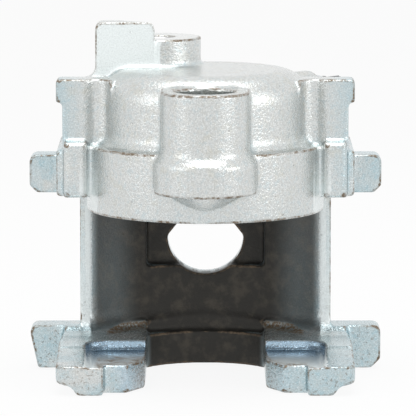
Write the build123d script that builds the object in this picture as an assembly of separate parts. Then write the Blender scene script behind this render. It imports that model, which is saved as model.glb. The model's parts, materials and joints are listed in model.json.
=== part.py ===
"""Unloaded floating disc-brake caliper: one cast housing with its piston, seals and bleeder.

Millimetres. The model is built on the cylinder axis (X = 0, Y = 0) with the underside of the
outboard leg at Z = 0, then moved so that the origin is the bottom centre of its bounding box.
+Z runs from the fingers to the closed end of the cylinder, +Y from the hub towards the bridge.
"""

from build123d import *
import math
import os

CALIPER_WIDTH = 110.8

# Cylinder: a mouth ring below a narrower closed cap
BORE_R = 25.5
MOUTH_Z = 54.3
RING_R = 36.6
RING_HEIGHT = 20.7
CAP_WALL = 6.5
CAP_HEIGHT = 43.4
CAP_END_WALL = 6.5
CAP_CORNER_R = 9.0
LEDGE_COVE_R = 3.5
BORE_END_COVE_R = 2.0

# Seal and boot grooves
SEAL_WIDTH = 3.2
SEAL_DEPTH = 3.0
SEAL_UP = 13.0
SEAL_SLACK = 0.05
BOOT_BORE_R = 31.5
BOOT_BORE_DEPTH = 5.6
RING_WALL = 1.2
RING_RECESS = 0.5

# Piston
PISTON_CLEARANCE = 0.06
PISTON_LENGTH = 34.0
PISTON_RECESS = 0.9
PISTON_WALL = 4.8
PISTON_END_WALL = 5.5
PISTON_EDGE_R = 1.0
LIP_GROOVE_UP = 1.3
LIP_GROOVE_WIDTH = 1.9
LIP_GROOVE_DEPTH = 1.3
LIP_CLEARANCE = 0.12
BOOT_WALL = 0.8
BEAD_WIDTH = 1.6

# Guide boss on the hub side
GUIDE_FROM_AXIS = 39.0
GUIDE_BOSS_R = 13.3
GUIDE_BASE_R = 15.5
GUIDE_TOP_UP = 40.5
GUIDE_BASE_TOP_UP = 19.0
GUIDE_FLARE_HEIGHT = 3.0
GUIDE_BASE_UP = 9.8
GUIDE_BORE_R = 9.1
GUIDE_BORE_DEPTH = 27.0
GUSSET_BOTTOM_UP = 3.6
GUSSET_TOP_R = 13.0
GUSSET_BOTTOM_R = 4.0

# Inlet boss with the tab that stops the hose fitting from turning
INLET_X = -14.3
INLET_Y = 16.0
INLET_BOSS_R = 12.9
INLET_TOP_UP = 51.9
INLET_PORT_R = 4.75
INLET_PORT_DEPTH = 11.5
INLET_PASSAGE_R = 1.6
TAB_LEFT = -34.1
TAB_RIGHT = -15.6
TAB_FRONT_Y = 2.5
TAB_THICKNESS = 7.5
TAB_TOP_UP = 57.6
TAB_CORNER_R = 2.2
TAB_COVE_R = 3.8
SHOULDER_X = 38.5
SHOULDER_TOP_UP = 40.0

# Bleeder boss, screw and cap
BLEED_ANGLE = 48.0
BLEED_DOWN_FROM_CAP_TOP = 10.7
BLEED_BOSS_R = 7.2
BLEED_BOSS_REACH = 44.0
BLEED_THREAD_R = 4.0
BLEED_THREAD_DEPTH = 10.0
BLEED_PASSAGE_R = 1.4
BLEED_CLEARANCE = 0.05
BLEED_TIP_LENGTH = 2.5
HEX_ACROSS = 10.0
HEX_HEIGHT = 5.0
HEX_GAP = 0.4
NIPPLE_R = 2.8
NIPPLE_BARB_R = 3.3
NIPPLE_LENGTH = 8.0
BARB_LENGTH = 2.6
DRILLING_R = 0.9
BLEEDER_CAP_WALL = 1.1
BLEEDER_CAP_END = 1.4
BLEEDER_CAP_CLEARANCE = 0.15
BLEEDER_CAP_LIP_R = 4.95
BLEEDER_CAP_LIP = 1.6

# Rail wings beside the cylinder
WING_X = 45.8
WING_FRONT_Y = -11.0
WING_TOP_UP = 41.2
WING_BOTTOM_UP = 5.0
WING_UPPER_DEPTH = 9.5
WING_POST_X = 32.6
WING_POST_R = 6.0
WING_WEB_SETBACK = 4.0
VALLEY_OUTER = (34.4, -9.2)
VALLEY_FLOOR = (31.6, -9.9)
VALLEY_INNER_X = 28.9
NOTCH_DEPTH = 1.9
NOTCH_BOTTOM_UP = 19.2
NOTCH_TOP_UP = 33.9
WING_EDGE_R = 1.2
COLUMN_INNER_X = 36.2
COLUMN_OUTER_X = 43.4
COLUMN_DEPTH = 4.5
COLUMN_TOP_UP = 22.3
COLUMN_EDGE_R = 2.0
COLUMN_ROOT_Y = -12.3

# Ears at the back of the wings and of the leg
EAR_FRONT_Y = 19.2
EAR_THICKNESS = 10.1
EAR_CORNER_R = 2.4
UPPER_EAR_BOTTOM_UP = 2.2
UPPER_EAR_HEIGHT = 12.1
LOWER_EAR_HEIGHT = 13.8
LOWER_EAR_LIFT = 0.5
LOWER_EAR_SLANT = 3.0
LEFT_EAR_SLANT = 2.4
LEFT_EAR_SLANT_HEIGHT = 11.0

# Bridge: a crescent wall behind the cylinder
BRIDGE_HALF_WIDTH = 39.7
BRIDGE_EDGE_WIDTH = 3.3
BRIDGE_INNER_Y = 34.0
BRIDGE_THICKNESS = 9.5
BRIDGE_COVE_R = 7.0
WINDOW_R = 12.1
WINDOW_UP = 40.6
WINDOW_TOP_UP = 50.0
WINDOW_TOP_HALF = 4.6
RELIEF_HALF_WIDTH = 18.8
RELIEF_BOTTOM = 31.5
RELIEF_DEPTH = 1.0

# Outboard leg and fingers
LEG_THICKNESS = 11.8
RIB_HEIGHT = 2.5
RIB_FRONT_Y = 25.0
LEG_REAR_HALF = 44.6
FINGER_FRONT_Y = -22.6
HORN_FRONT_Y = -27.4
HORN_INNER_X = 31.1
HORN_FRONT_HEIGHT = 9.2
HORN_BEVEL_Y = -4.6
HORN_BEVEL_DROP = 0.8
HORN_STEP_X = 41.2
HORN_STEP_HEIGHT = 2.9
HORN_CORNER_HEIGHT = 3.5
HORN_CORNER_R = 3.5
FOOT_X = 39.2
HORN_FOOT_DEPTH = 32.0
GAP_HALF_WIDTH = 18.6
GAP_MOUTH_HALF = 23.9
GAP_MOUTH_Y = -13.6
GAP_SIDE_Y = 22.0
GAP_FAR_Y = 31.3
GAP_STEP_Z = 10.5
GAP_STEP_SIDE_Y = 28.0
GAP_STEP_FAR_Y = 33.0
SEAT_THICKNESS = 8.8
SEAT_REAR_Y = 5.4
SEAT_OUTER_X = 37.0
SEAT_END_R = 6.0
SEAT_FLOOR_R = 2.2
CUTTER_R = 36.0
CUTTER_UP = 0.2
CUTTER_HEIGHT = 3.0

CAP_R = BORE_R + CAP_WALL
RING_TOP_Z = MOUTH_Z + RING_HEIGHT
CAP_TOP_Z = MOUTH_Z + CAP_HEIGHT
BORE_END_Z = CAP_TOP_Z - CAP_END_WALL
PISTON_R = BORE_R - PISTON_CLEARANCE
PISTON_FACE_Z = MOUTH_Z + PISTON_RECESS
WING_BOTTOM_Z = MOUTH_Z + WING_BOTTOM_UP
EAR_REAR_Y = EAR_FRONT_Y + EAR_THICKNESS
EAR_X = CALIPER_WIDTH / 2
BLEED_Z = CAP_TOP_Z - BLEED_DOWN_FROM_CAP_TOP
THROUGH = 5.0
RIGHT = (1, 0, 0)
BACK = (0, 1, 0)
UP = (0, 0, 1)


def block(x0, x1, y0, y1, z0, z1):
    """A box between two corners."""
    middle = Pos((x0 + x1) / 2, (y0 + y1) / 2, (z0 + z1) / 2)
    return middle * Box(x1 - x0, y1 - y0, z1 - z0)


def rod(x, y, radius, z0, z1):
    """An upright cylinder between two heights."""
    return Pos(x, y, (z0 + z1) / 2) * Cylinder(radius, z1 - z0)


def both_sides(solid):
    """A solid and its mirror image in the YZ plane."""
    return solid + mirror(solid, about=Plane.YZ)


def tube(inner, outer, z0, z1):
    """A ring on the cylinder axis."""
    return rod(0, 0, outer, z0, z1) - rod(0, 0, inner, z0 - THROUGH, z1 + THROUGH)


def cove(wall_r, height, radius):
    """Ring-shaped fillet standing on a floor at the given height against a round wall."""
    corner = Pos(wall_r + radius / 2, height + radius / 2) * Rectangle(radius, radius)
    hollow = Pos(wall_r + radius, height + radius) * Circle(radius)
    return revolve(Plane.XZ * (corner - hollow), Axis.Z)


def arc_centre_y(edge_x, edge_y, middle_y):
    """Y of the centre of the arc through (-edge_x, edge_y), (0, middle_y) and (edge_x, edge_y)."""
    rise = middle_y - edge_y
    radius = (edge_x**2 + rise**2) / (2 * rise)
    return middle_y - radius


def cylinder_body():
    """Mouth ring and closed cap, with the cove on the ledge between them."""
    cap = rod(0, 0, CAP_R, MOUTH_Z, CAP_TOP_Z)
    cap = fillet(cap.edges().group_by(Axis.Z)[-1], CAP_CORNER_R)
    ring = rod(0, 0, RING_R, MOUTH_Z, RING_TOP_Z)
    return cap + ring + cove(CAP_R, RING_TOP_Z, LEDGE_COVE_R)


def cylinder_bore():
    """What is machined out of the cylinder: bore, seal groove and the boot's counterbore."""
    bore = rod(0, 0, BORE_R, MOUTH_Z - THROUGH, BORE_END_Z)
    bore = fillet(bore.edges().group_by(Axis.Z)[-1], BORE_END_COVE_R)
    groove_z = MOUTH_Z + SEAL_UP
    groove = rod(0, 0, BORE_R + SEAL_DEPTH, groove_z, groove_z + SEAL_WIDTH)
    boot_bore = rod(0, 0, BOOT_BORE_R, MOUTH_Z - THROUGH, MOUTH_Z + BOOT_BORE_DEPTH)
    return bore + groove + boot_bore


def guide_boss():
    """Upright boss with a flared base that tapers into the mouth ring below it."""
    y = -GUIDE_FROM_AXIS
    base_z = MOUTH_Z + GUIDE_BASE_UP
    shoulder_z = MOUTH_Z + GUIDE_BASE_TOP_UP
    flare_z = shoulder_z + GUIDE_FLARE_HEIGHT
    top_z = MOUTH_Z + GUIDE_TOP_UP
    inside_y = -BORE_R - CAP_WALL / 2
    shaft = rod(0, y, GUIDE_BOSS_R, base_z, top_z)
    shaft += block(-GUIDE_BOSS_R, GUIDE_BOSS_R, y, inside_y, base_z, top_z)
    base = rod(0, y, GUIDE_BASE_R, base_z, shoulder_z)
    base += block(-GUIDE_BASE_R, GUIDE_BASE_R, y, inside_y, base_z, shoulder_z)
    flare_middle = Pos(0, y, (shoulder_z + flare_z) / 2)
    flare = flare_middle * Cone(GUIDE_BASE_R, GUIDE_BOSS_R, GUIDE_FLARE_HEIGHT)
    foot_z = MOUTH_Z + GUSSET_BOTTOM_UP
    gusset_y = GUSSET_BOTTOM_R - RING_R
    gusset_middle = Pos(0, gusset_y, (foot_z + base_z) / 2)
    gusset = gusset_middle * Cone(GUSSET_BOTTOM_R, GUSSET_TOP_R, base_z - foot_z)
    return shaft + base + flare + gusset


def guide_bore():
    """Blind bore for the guide pin, open at the top."""
    top_z = MOUTH_Z + GUIDE_TOP_UP
    return rod(0, -GUIDE_FROM_AXIS, GUIDE_BORE_R, top_z - GUIDE_BORE_DEPTH, top_z + THROUGH)


def inlet_boss():
    """Round seat for the hose fitting with the flat tab in front of it."""
    top_z = MOUTH_Z + INLET_TOP_UP
    root_z = MOUTH_Z + NOTCH_BOTTOM_UP
    tab_rear = TAB_FRONT_Y + TAB_THICKNESS
    seat = rod(INLET_X, INLET_Y, INLET_BOSS_R, BORE_END_Z + THROUGH / 2, top_z)
    tab = block(TAB_LEFT, TAB_RIGHT, TAB_FRONT_Y, tab_rear, root_z, MOUTH_Z + TAB_TOP_UP)
    top_edges = tab.edges().filter_by(Axis.Y).group_by(Axis.Z)[-1]
    tab = fillet(top_edges, TAB_CORNER_R)
    return seat + tab + tab_shoulder(root_z, tab_rear)


def tab_shoulder(root_z, rear_y):
    """Web that joins the tab to the wing beside it, with a cove up the tab's outer edge."""
    top_z = MOUTH_Z + SHOULDER_TOP_UP
    front_y = WING_FRONT_Y + WING_WEB_SETBACK
    web = block(-SHOULDER_X, TAB_LEFT + TAB_CORNER_R, front_y, rear_y, root_z, top_z)
    middle = TAB_COVE_R / 2
    corner = Pos(TAB_LEFT - middle, top_z + middle) * Rectangle(TAB_COVE_R, TAB_COVE_R)
    hollow = Pos(TAB_LEFT - TAB_COVE_R, top_z + TAB_COVE_R) * Circle(TAB_COVE_R)
    side = Plane.XZ.offset(-TAB_FRONT_Y) * (corner - hollow)
    return web + extrude(side, TAB_THICKNESS, dir=BACK)


def inlet_port():
    """Tapped port and the passage from it into the cylinder."""
    top_z = MOUTH_Z + INLET_TOP_UP
    port = rod(INLET_X, INLET_Y, INLET_PORT_R, top_z - INLET_PORT_DEPTH, top_z + THROUGH)
    fitting = rod(INLET_X, INLET_Y, INLET_BOSS_R, top_z, top_z + 2 * THROUGH)
    passage = rod(INLET_X, INLET_Y, INLET_PASSAGE_R, BORE_END_Z - THROUGH, top_z)
    return port + fitting + passage


def bleeder_axis():
    """Plane on the cylinder axis whose Z runs out along the bleeder."""
    turn = math.radians(BLEED_ANGLE)
    outwards = (math.sin(turn), math.cos(turn), 0)
    return Plane(origin=(0, 0, BLEED_Z), x_dir=(0, 0, 1), z_dir=outwards)


def along_bleeder(radius, start, end):
    """A round bar on the bleeder's axis, from start to end out from the cylinder axis."""
    return bleeder_axis() * Pos(0, 0, (start + end) / 2) * Cylinder(radius, end - start)


def bleeder_boss():
    """Round boss that carries the bleeder screw."""
    return along_bleeder(BLEED_BOSS_R, BORE_R + CAP_WALL / 2, BLEED_BOSS_REACH)


def bleeder_port():
    """Tapped hole, its cone seat and the passage from the top of the cylinder."""
    thread_start = BLEED_BOSS_REACH - BLEED_THREAD_DEPTH
    thread = along_bleeder(BLEED_THREAD_R, thread_start, BLEED_BOSS_REACH + THROUGH)
    seat_middle = Pos(0, 0, thread_start - BLEED_TIP_LENGTH / 2)
    seat = bleeder_axis() * seat_middle * Cone(BLEED_PASSAGE_R, BLEED_THREAD_R, BLEED_TIP_LENGTH)
    passage = along_bleeder(BLEED_PASSAGE_R, BORE_R - THROUGH, thread_start)
    return thread + seat + passage


def wing():
    """Right-hand rail wing with its notched outer face and the column in front of it."""
    top_z = MOUTH_Z + WING_TOP_UP
    notch_z = MOUTH_Z + NOTCH_BOTTOM_UP
    rear_y = WING_FRONT_Y + WING_UPPER_DEPTH
    web_front = WING_FRONT_Y + WING_WEB_SETBACK
    post = block(WING_POST_X, WING_X, WING_FRONT_Y, rear_y, WING_BOTTOM_Z, top_z)
    inner_edge = post.edges().filter_by(Axis.Z).group_by(Axis.Y)[0].sort_by(Axis.X)[0]
    post = fillet(inner_edge, WING_POST_R)
    post = fillet(post.edges().group_by(Axis.X)[-1].filter_by(Axis.Y), WING_EDGE_R)
    web = block(BORE_R + CAP_WALL / 2, WING_X - WING_EDGE_R, web_front, rear_y, RING_TOP_Z, top_z)
    rail = block(BORE_R + CAP_WALL / 2, WING_X, web_front, EAR_REAR_Y, WING_BOTTOM_Z, notch_z)
    root_x = COLUMN_INNER_X + COLUMN_EDGE_R
    rail += block(
        BORE_R + CAP_WALL / 2, root_x, COLUMN_ROOT_Y, web_front, WING_BOTTOM_Z, RING_TOP_Z
    )
    column = block(
        COLUMN_INNER_X,
        COLUMN_OUTER_X,
        WING_FRONT_Y - COLUMN_DEPTH,
        WING_FRONT_Y + COLUMN_EDGE_R,
        WING_BOTTOM_Z,
        MOUTH_Z + COLUMN_TOP_UP,
    )
    column = fillet(column.edges().group_by(Axis.Y)[0], COLUMN_EDGE_R)
    notch = block(
        WING_X - NOTCH_DEPTH,
        WING_X + THROUGH,
        WING_FRONT_Y - THROUGH,
        rear_y + THROUGH,
        notch_z,
        MOUTH_Z + NOTCH_TOP_UP,
    )
    return post + web + valley(RING_TOP_Z, top_z) + rail + column - notch


def valley(low_z, high_z):
    """Hollow sweep from the right-hand wing's post to the cap."""
    inner_y = -math.sqrt(CAP_R**2 - VALLEY_INNER_X**2)
    sweep = ThreePointArc(VALLEY_OUTER, VALLEY_FLOOR, (VALLEY_INNER_X, inner_y))
    rear_y = WING_FRONT_Y + WING_POST_R
    back = Polyline(sweep @ 1, (BORE_R, rear_y), (WING_POST_X + WING_POST_R, rear_y), sweep @ 0)
    face = make_face(Curve() + [sweep, back])
    return extrude(Plane.XY.offset(low_z) * face, high_z - low_z, dir=UP)


def ear(bottom_z, height, slant, slant_height):
    """Right-hand ear, its upper outer corner rounded and the lower one cut off at a slant."""
    root_x = BRIDGE_HALF_WIDTH - BRIDGE_EDGE_WIDTH / 2
    body = block(root_x, EAR_X, EAR_FRONT_Y, EAR_REAR_Y, bottom_z, bottom_z + height)
    upper_corner = body.edges().filter_by(Axis.Y).group_by(Axis.X)[-1].sort_by(Axis.Z)[-1]
    body = fillet(upper_corner, EAR_CORNER_R)
    cut = Plane.XZ.offset(THROUGH - EAR_FRONT_Y) * Polygon(
        (EAR_X - slant, bottom_z),
        (EAR_X, bottom_z + slant_height),
        (EAR_X + THROUGH, bottom_z + slant_height),
        (EAR_X + THROUGH, bottom_z - THROUGH),
        (EAR_X - slant, bottom_z - THROUGH),
        align=None,
    )
    return body - extrude(cut, EAR_THICKNESS + 2 * THROUGH, dir=BACK)


def ears():
    """Upper and lower ears, the lower left one with the longer slant."""
    upper_z = MOUTH_Z + UPPER_EAR_BOTTOM_UP
    upper = ear(upper_z, UPPER_EAR_HEIGHT, EAR_CORNER_R, EAR_CORNER_R)
    right = ear(LOWER_EAR_LIFT, LOWER_EAR_HEIGHT, LOWER_EAR_SLANT, LOWER_EAR_SLANT)
    left = ear(LOWER_EAR_LIFT, LOWER_EAR_HEIGHT, LEFT_EAR_SLANT, LEFT_EAR_SLANT_HEIGHT)
    return both_sides(upper) + right + mirror(left, about=Plane.YZ)


def bridge():
    """Crescent wall from the leg up to the mouth ring, with the cove at its foot."""
    edge_inner = BRIDGE_HALF_WIDTH - BRIDGE_EDGE_WIDTH
    outer_y = BRIDGE_INNER_Y + BRIDGE_THICKNESS
    inner_arc = ThreePointArc(
        (-edge_inner, EAR_FRONT_Y), (0, BRIDGE_INNER_Y), (edge_inner, EAR_FRONT_Y)
    )
    outer_arc = ThreePointArc(
        (BRIDGE_HALF_WIDTH, EAR_FRONT_Y), (0, outer_y), (-BRIDGE_HALF_WIDTH, EAR_FRONT_Y)
    )
    right = Line(inner_arc @ 1, outer_arc @ 0)
    left = Line(outer_arc @ 1, inner_arc @ 0)
    section = make_face(Curve() + [inner_arc, right, outer_arc, left])
    filled = make_face(Curve() + [outer_arc, Line(outer_arc @ 1, outer_arc @ 0)])
    wall = extrude(section, RING_TOP_Z, dir=UP)
    heel = extrude(filled, LEG_THICKNESS, dir=UP)
    crown = extrude(Plane.XY.offset(MOUTH_Z) * filled, RING_HEIGHT, dir=UP)
    return wall + heel + crown + bridge_cove(edge_inner) + both_sides(strip_cove(edge_inner))


def bridge_cove(edge_inner):
    """Fillet between the bridge's inner face and the top of the leg."""
    centre_y = arc_centre_y(edge_inner, EAR_FRONT_Y, BRIDGE_INNER_Y)
    inner_r = BRIDGE_INNER_Y - centre_y
    middle = BRIDGE_COVE_R / 2
    corner = Pos(inner_r - middle, LEG_THICKNESS + middle) * Rectangle(BRIDGE_COVE_R, BRIDGE_COVE_R)
    hollow = Pos(inner_r - BRIDGE_COVE_R, LEG_THICKNESS + BRIDGE_COVE_R) * Circle(BRIDGE_COVE_R)
    ring = Pos(0, centre_y) * revolve(Plane.XZ * (corner - hollow), Axis.Z)
    keep = block(
        -edge_inner,
        edge_inner,
        EAR_FRONT_Y - BRIDGE_COVE_R,
        BRIDGE_INNER_Y + THROUGH,
        LEG_THICKNESS,
        LEG_THICKNESS + BRIDGE_COVE_R,
    )
    return ring & keep


def strip_cove(edge_inner):
    """Fillet between the leg and the bridge's right-hand edge, cut off at the rib beside it."""
    front_y = EAR_FRONT_Y - BRIDGE_COVE_R
    rib_top = LEG_THICKNESS + RIB_HEIGHT
    middle = BRIDGE_COVE_R / 2
    corner = Pos(front_y + middle, LEG_THICKNESS + middle) * Rectangle(BRIDGE_COVE_R, BRIDGE_COVE_R)
    hollow = Pos(front_y, LEG_THICKNESS + BRIDGE_COVE_R) * Circle(BRIDGE_COVE_R)
    fill = extrude(Plane.YZ * (corner - hollow), LEG_REAR_HALF, dir=RIGHT)
    tall = block(edge_inner, BRIDGE_HALF_WIDTH, front_y, EAR_FRONT_Y, 0, RING_TOP_Z)
    low = block(edge_inner, LEG_REAR_HALF, front_y, EAR_FRONT_Y, 0, rib_top)
    rib = block(edge_inner, LEG_REAR_HALF, EAR_FRONT_Y, EAR_REAR_Y, 0, rib_top)
    return (fill & (tall + low)) + rib


def bridge_window():
    """Teardrop window through the bridge and the shallow relief around it."""
    centre_z = WINDOW_UP
    outline = Pos(0, centre_z) * Circle(WINDOW_R)
    outline += Polygon(
        (-WINDOW_R, centre_z),
        (WINDOW_R, centre_z),
        (WINDOW_TOP_HALF, WINDOW_TOP_UP),
        (-WINDOW_TOP_HALF, WINDOW_TOP_UP),
        align=None,
    )
    above = Pos(0, WINDOW_TOP_UP + WINDOW_R) * Rectangle(4 * WINDOW_R, 2 * WINDOW_R)
    sides = Polygon(
        (WINDOW_R, centre_z),
        (3 * WINDOW_R, centre_z),
        (3 * WINDOW_R, WINDOW_TOP_UP),
        (WINDOW_TOP_HALF, WINDOW_TOP_UP),
        align=None,
    )
    outline = outline - above - sides - mirror(sides, about=Plane.YZ)
    front = Plane.XZ.offset(THROUGH - BRIDGE_INNER_Y)
    window = extrude(front * outline, BRIDGE_THICKNESS + 2 * THROUGH, dir=BACK)
    relief = block(
        -RELIEF_HALF_WIDTH,
        RELIEF_HALF_WIDTH,
        BRIDGE_INNER_Y - THROUGH,
        BRIDGE_INNER_Y + RELIEF_DEPTH,
        RELIEF_BOTTOM,
        MOUTH_Z,
    )
    return window, relief


def leg():
    """Outboard leg: plate with a raised rear rib and a horn at the outside of each finger."""
    corner = (WING_X - HORN_CORNER_R, HORN_FRONT_Y + HORN_CORNER_R)
    outline = Polygon(
        (0, EAR_REAR_Y),
        (LEG_REAR_HALF, EAR_REAR_Y),
        (WING_X, SEAT_REAR_Y),
        (WING_X, corner[1]),
        (corner[0], HORN_FRONT_Y),
        (HORN_INNER_X, HORN_FRONT_Y),
        (HORN_INNER_X, FINGER_FRONT_Y),
        (0, FINGER_FRONT_Y),
        align=None,
    )
    outline += Pos(*corner) * Circle(HORN_CORNER_R)
    plate = extrude(outline, LEG_THICKNESS, dir=UP)
    rib = block(0, LEG_REAR_HALF, RIB_FRONT_Y, EAR_REAR_Y, 0, LEG_THICKNESS + RIB_HEIGHT)
    bevel = Plane.YZ * Polygon(
        (HORN_BEVEL_Y, LEG_THICKNESS),
        (HORN_BEVEL_Y - HORN_BEVEL_DROP / 2, LEG_THICKNESS - HORN_BEVEL_DROP),
        (HORN_FRONT_Y, HORN_FRONT_HEIGHT),
        (HORN_FRONT_Y - THROUGH, HORN_FRONT_HEIGHT),
        (HORN_FRONT_Y - THROUGH, LEG_THICKNESS + THROUGH),
        (HORN_BEVEL_Y, LEG_THICKNESS + THROUGH),
        align=None,
    )
    foot = Plane.XZ * Polygon(
        (WING_X + THROUGH, HORN_CORNER_HEIGHT),
        (WING_X, HORN_CORNER_HEIGHT),
        (HORN_STEP_X, HORN_STEP_HEIGHT),
        (FOOT_X, 0),
        (FOOT_X, -THROUGH),
        (WING_X + THROUGH, -THROUGH),
        align=None,
    )
    right = plate + rib - extrude(bevel, WING_X + THROUGH, dir=RIGHT)
    right -= Pos(0, HORN_FRONT_Y - THROUGH, 0) * extrude(foot, HORN_FOOT_DEPTH + THROUGH, dir=BACK)
    return both_sides(right)


def gap_outline(side_y, far_y):
    """Outline of the finger gap from above: flared at the front, round at the far end."""
    front_y = HORN_FRONT_Y - THROUGH
    far = ThreePointArc((GAP_HALF_WIDTH, side_y), (0, far_y), (-GAP_HALF_WIDTH, side_y))
    sides = Polyline(
        far @ 1,
        (-GAP_HALF_WIDTH, GAP_MOUTH_Y),
        (-GAP_MOUTH_HALF, FINGER_FRONT_Y),
        (-GAP_MOUTH_HALF, front_y),
        (GAP_MOUTH_HALF, front_y),
        (GAP_MOUTH_HALF, FINGER_FRONT_Y),
        (GAP_HALF_WIDTH, GAP_MOUTH_Y),
        far @ 0,
    )
    return make_face(Curve() + [far, sides])


def finger_gap():
    """Gap between the fingers, its far end set back above the parting line."""
    top_z = LEG_THICKNESS + BRIDGE_COVE_R
    low = Plane.XY.offset(-THROUGH) * gap_outline(GAP_SIDE_Y, GAP_FAR_Y)
    high = Plane.XY.offset(GAP_STEP_Z) * gap_outline(GAP_STEP_SIDE_Y, GAP_STEP_FAR_Y)
    return extrude(low, top_z + THROUGH, dir=UP) + extrude(high, top_z - GAP_STEP_Z, dir=UP)


def cutter_marks():
    """Lens each side of the gap where the facing cutter ran into the bridge's cove."""
    low_z = LEG_THICKNESS + CUTTER_UP
    high_z = low_z + CUTTER_HEIGHT
    swept = rod(0, 0, CUTTER_R, low_z, high_z)
    return swept - block(-GAP_HALF_WIDTH, GAP_HALF_WIDTH, 0, 2 * CUTTER_R, low_z, high_z)


def finger_seat():
    """Right-hand machined seat for the pad, with a rounded outer end, open at the gap."""
    low_y = HORN_FRONT_Y - THROUGH
    seat = block(
        0, SEAT_OUTER_X, low_y, SEAT_REAR_Y, SEAT_THICKNESS, LEG_THICKNESS + THROUGH
    )
    corner = seat.edges().filter_by(Axis.Z).sort_by(lambda edge: edge.center().X + edge.center().Y)
    seat = fillet(corner[-1], SEAT_END_R)
    seat = fillet(seat.edges().group_by(Axis.Z)[0], SEAT_FLOOR_R)
    inner_front = block(
        0, HORN_INNER_X, low_y, FINGER_FRONT_Y, -THROUGH, LEG_THICKNESS + THROUGH
    )
    return seat + inner_front


def housing():
    """The single casting with everything that is machined into it."""
    window, relief = bridge_window()
    body = cylinder_body() + guide_boss() + inlet_boss() + bleeder_boss()
    body += both_sides(wing())
    body += ears()
    body += bridge() - relief
    body += leg()
    body -= cylinder_bore() + guide_bore() + inlet_port() + bleeder_port()
    body -= window
    body -= cutter_marks()
    body -= finger_gap()
    body -= both_sides(finger_seat())
    return body


def piston():
    """Hollow cup, open towards the pad, with the boot's groove near its rim."""
    top_z = PISTON_FACE_Z + PISTON_LENGTH
    cup = rod(0, 0, PISTON_R, PISTON_FACE_Z, top_z)
    cup = fillet(cup.edges().group_by(Axis.Z)[-1], PISTON_EDGE_R)
    hollow = rod(0, 0, PISTON_R - PISTON_WALL, PISTON_FACE_Z - THROUGH, top_z - PISTON_END_WALL)
    groove_z = PISTON_FACE_Z + LIP_GROOVE_UP
    groove = tube(
        PISTON_R - LIP_GROOVE_DEPTH, PISTON_R + THROUGH, groove_z, groove_z + LIP_GROOVE_WIDTH
    )
    return cup - hollow - groove


def piston_seal():
    """Square-section ring in the bore's groove."""
    low = MOUTH_Z + SEAL_UP + SEAL_SLACK
    high = MOUTH_Z + SEAL_UP + SEAL_WIDTH - SEAL_SLACK
    return tube(PISTON_R + PISTON_CLEARANCE / 2, BORE_R + SEAL_DEPTH - SEAL_SLACK, low, high)


def boot_retaining_ring():
    """Pressed steel ring that holds the boot's bead in the counterbore."""
    outer = BOOT_BORE_R - SEAL_SLACK
    top = MOUTH_Z + BOOT_BORE_DEPTH - SEAL_SLACK
    return tube(outer - RING_WALL, outer, MOUTH_Z + RING_RECESS, top)


def dust_boot():
    """Rubber bellows from its bead in the counterbore to its lip in the piston's groove."""
    bead_outer = BOOT_BORE_R - RING_WALL - 2 * SEAL_SLACK
    bead_inner = bead_outer - BEAD_WIDTH
    bead_top = MOUTH_Z + BOOT_BORE_DEPTH - SEAL_SLACK
    lip_low = PISTON_FACE_Z + LIP_GROOVE_UP + LIP_CLEARANCE
    lip_high = lip_low + LIP_GROOVE_WIDTH - 2 * LIP_CLEARANCE
    lip_inner = PISTON_R - LIP_GROOVE_DEPTH + LIP_CLEARANCE
    lip_outer = PISTON_R + BOOT_WALL
    fold_low = MOUTH_Z + RING_RECESS
    outline = Polygon(
        (bead_outer, bead_top),
        (bead_inner, bead_top),
        (bead_inner, fold_low + BOOT_WALL),
        (lip_outer, lip_high),
        (lip_inner, lip_high),
        (lip_inner, lip_low),
        (lip_outer, lip_low),
        (bead_inner, fold_low),
        (bead_outer - BOOT_WALL, fold_low),
        (bead_outer, bead_top - BOOT_WALL * 2),
        align=None,
    )
    return revolve(Plane.XZ * outline, Axis.Z)


def bleeder_screw():
    """Screw with a cone tip, hexagon, barbed nipple and the drilling through them."""
    radius = BLEED_THREAD_R - BLEED_CLEARANCE
    start = BLEED_BOSS_REACH - BLEED_THREAD_DEPTH + BLEED_CLEARANCE
    hex_start = BLEED_BOSS_REACH + HEX_GAP
    hex_end = hex_start + HEX_HEIGHT
    end = hex_end + NIPPLE_LENGTH
    outline = Polygon(
        (0, start - BLEED_TIP_LENGTH),
        (BLEED_PASSAGE_R, start - BLEED_TIP_LENGTH),
        (radius, start),
        (radius, hex_start),
        (NIPPLE_R, hex_start),
        (NIPPLE_R, end - BARB_LENGTH),
        (NIPPLE_BARB_R, end - BARB_LENGTH),
        ((NIPPLE_R + DRILLING_R) / 2, end),
        (0, end),
        align=None,
    )
    hexagon = RegularPolygon(HEX_ACROSS / 2, 6, major_radius=False)
    screw = revolve(Plane.XZ * outline, Axis.Z)
    screw += Pos(0, 0, hex_start) * extrude(hexagon, HEX_HEIGHT, dir=UP)
    cross_z = start + 2 * DRILLING_R
    screw -= rod(0, 0, DRILLING_R, cross_z, end + THROUGH)
    screw -= Pos(0, 0, cross_z) * Rot(90, 0, 0) * Cylinder(DRILLING_R, 4 * BLEED_THREAD_R)
    return bleeder_axis() * screw


def bleeder_cap():
    """Rubber cap pushed over the nipple."""
    base = BLEED_BOSS_REACH + HEX_GAP + HEX_HEIGHT + BLEEDER_CAP_CLEARANCE
    inside_end = base + NIPPLE_LENGTH
    inner = NIPPLE_BARB_R + BLEEDER_CAP_CLEARANCE
    shell = along_bleeder(inner + BLEEDER_CAP_WALL, base, inside_end + BLEEDER_CAP_END)
    shell += along_bleeder(BLEEDER_CAP_LIP_R, base, base + BLEEDER_CAP_LIP)
    return shell - along_bleeder(inner, base - THROUGH, inside_end)


NODES = {
    "caliper_housing": housing,
    "piston": piston,
    "piston_seal": piston_seal,
    "dust_boot": dust_boot,
    "boot_retaining_ring": boot_retaining_ring,
    "bleeder_screw": bleeder_screw,
    "bleeder_cap": bleeder_cap,
}

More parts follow.
